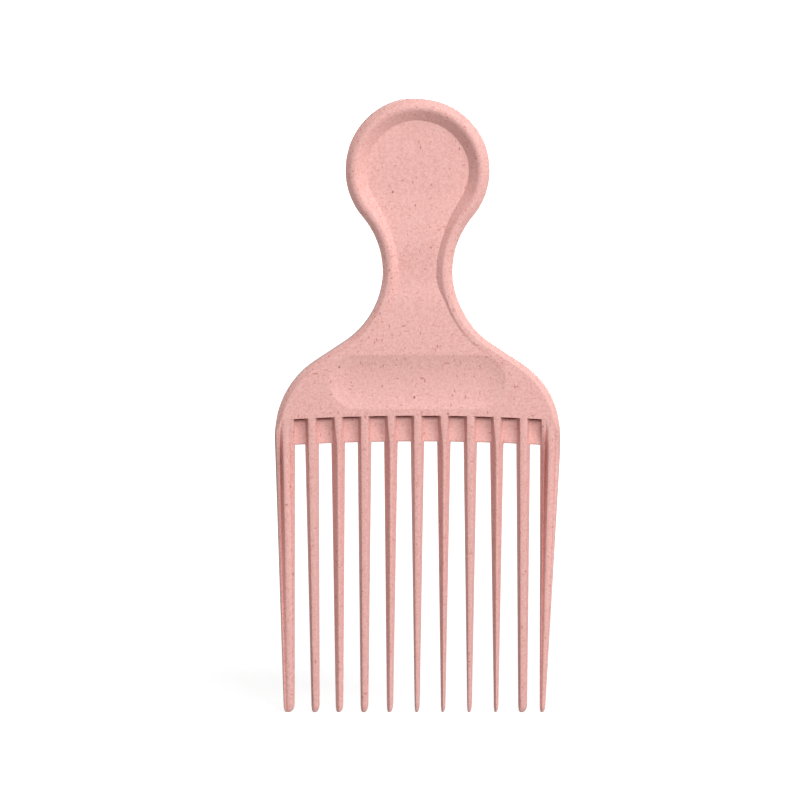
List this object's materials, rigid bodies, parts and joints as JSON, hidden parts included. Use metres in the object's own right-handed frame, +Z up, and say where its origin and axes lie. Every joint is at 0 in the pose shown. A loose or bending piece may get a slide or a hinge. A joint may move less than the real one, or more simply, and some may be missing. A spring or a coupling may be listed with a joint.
{
  "type": "afro pick",
  "caption": "Moulded hair pick with a round recessed grip, a waisted neck, wide rounded shoulders and a row of long tapering teeth.",
  "frame": {"origin": "middle of the row of tooth tips, on the surface that the tips stand on", "axes": "+Z up from the tips to the head, +X across the teeth, and the front with the dish faces -Y"},
  "size_m": [0.0781, 0.007, 0.17],
  "materials": {
    "straw_plastic": "matt pink plastic with fine reddish-brown straw specks"
  },
  "bodies": {
    "root": {"head_rim": "straw_plastic", "neck_rail_left": "straw_plastic", "neck_rail_right": "straw_plastic", "grip_floor": "straw_plastic", "shoulder": "straw_plastic", "root_bar": "straw_plastic", "tooth_01": "straw_plastic", "tooth_02": "straw_plastic", "tooth_03": "straw_plastic", "tooth_04": "straw_plastic", "tooth_05": "straw_plastic", "tooth_06": "straw_plastic", "tooth_07": "straw_plastic", "tooth_08": "straw_plastic", "tooth_09": "straw_plastic", "tooth_10": "straw_plastic", "tooth_11": "straw_plastic"}
  },
  "joints": []
}
